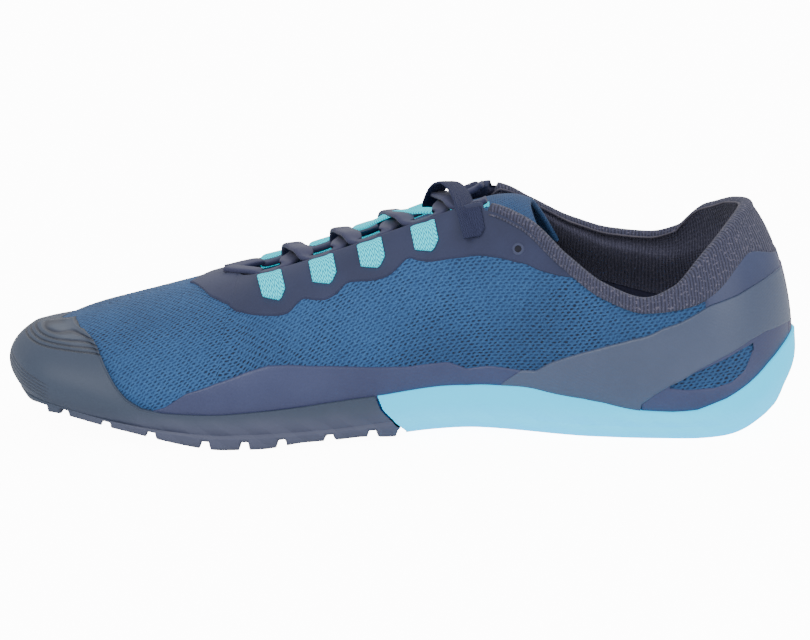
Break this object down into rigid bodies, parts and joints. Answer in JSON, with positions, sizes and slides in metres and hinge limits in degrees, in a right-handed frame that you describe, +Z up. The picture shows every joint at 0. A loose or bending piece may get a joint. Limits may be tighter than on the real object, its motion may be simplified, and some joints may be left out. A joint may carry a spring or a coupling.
{
  "type": "barefoot shoe",
  "caption": "Low lace-up barefoot shoe for the right foot: hollow knit upper, padded cuff, thin two-part lugged sole with wrapped toe cap.",
  "frame": {"origin": "centre of the bounding box in plan, on the ground under the lugs", "axes": "+X from toe to heel, -Y towards the medial side, +Z up"},
  "size_m": [0.2558, 0.0954, 0.0822],
  "materials": {
    "knit_mesh": "open knit mesh, matt",
    "dark_rubber": "matt moulded rubber",
    "bright_rubber": "satin moulded rubber",
    "footbed": "thin foam under fabric",
    "tongue_mesh": "air mesh",
    "cuff_knit": "ribbed knit over foam",
    "facing": "laminated facing",
    "film": "thin welded film",
    "lace": "flat woven lace",
    "webbing": "woven webbing"
  },
  "bodies": {
    "root": {"upper": "knit_mesh", "outsole_front": "dark_rubber", "outsole_rear": "bright_rubber", "insole": "footbed", "tongue": "tongue_mesh", "collar_cuff": "cuff_knit", "eyestay_medial": "facing", "eyestay_lateral": "facing", "side_overlay_medial": "film", "side_overlay_lateral": "film", "heel_counter": "film", "heel_strip": "film", "lace": "lace", "lace_loop_medial_1": "webbing", "lace_loop_medial_2": "webbing", "lace_loop_medial_3": "webbing", "lace_loop_medial_4": "webbing", "lace_loop_medial_5": "facing", "lace_loop_lateral_1": "webbing", "lace_loop_lateral_2": "webbing", "lace_loop_lateral_3": "webbing", "lace_loop_lateral_4": "webbing", "lace_loop_lateral_5": "facing"}
  },
  "joints": []
}
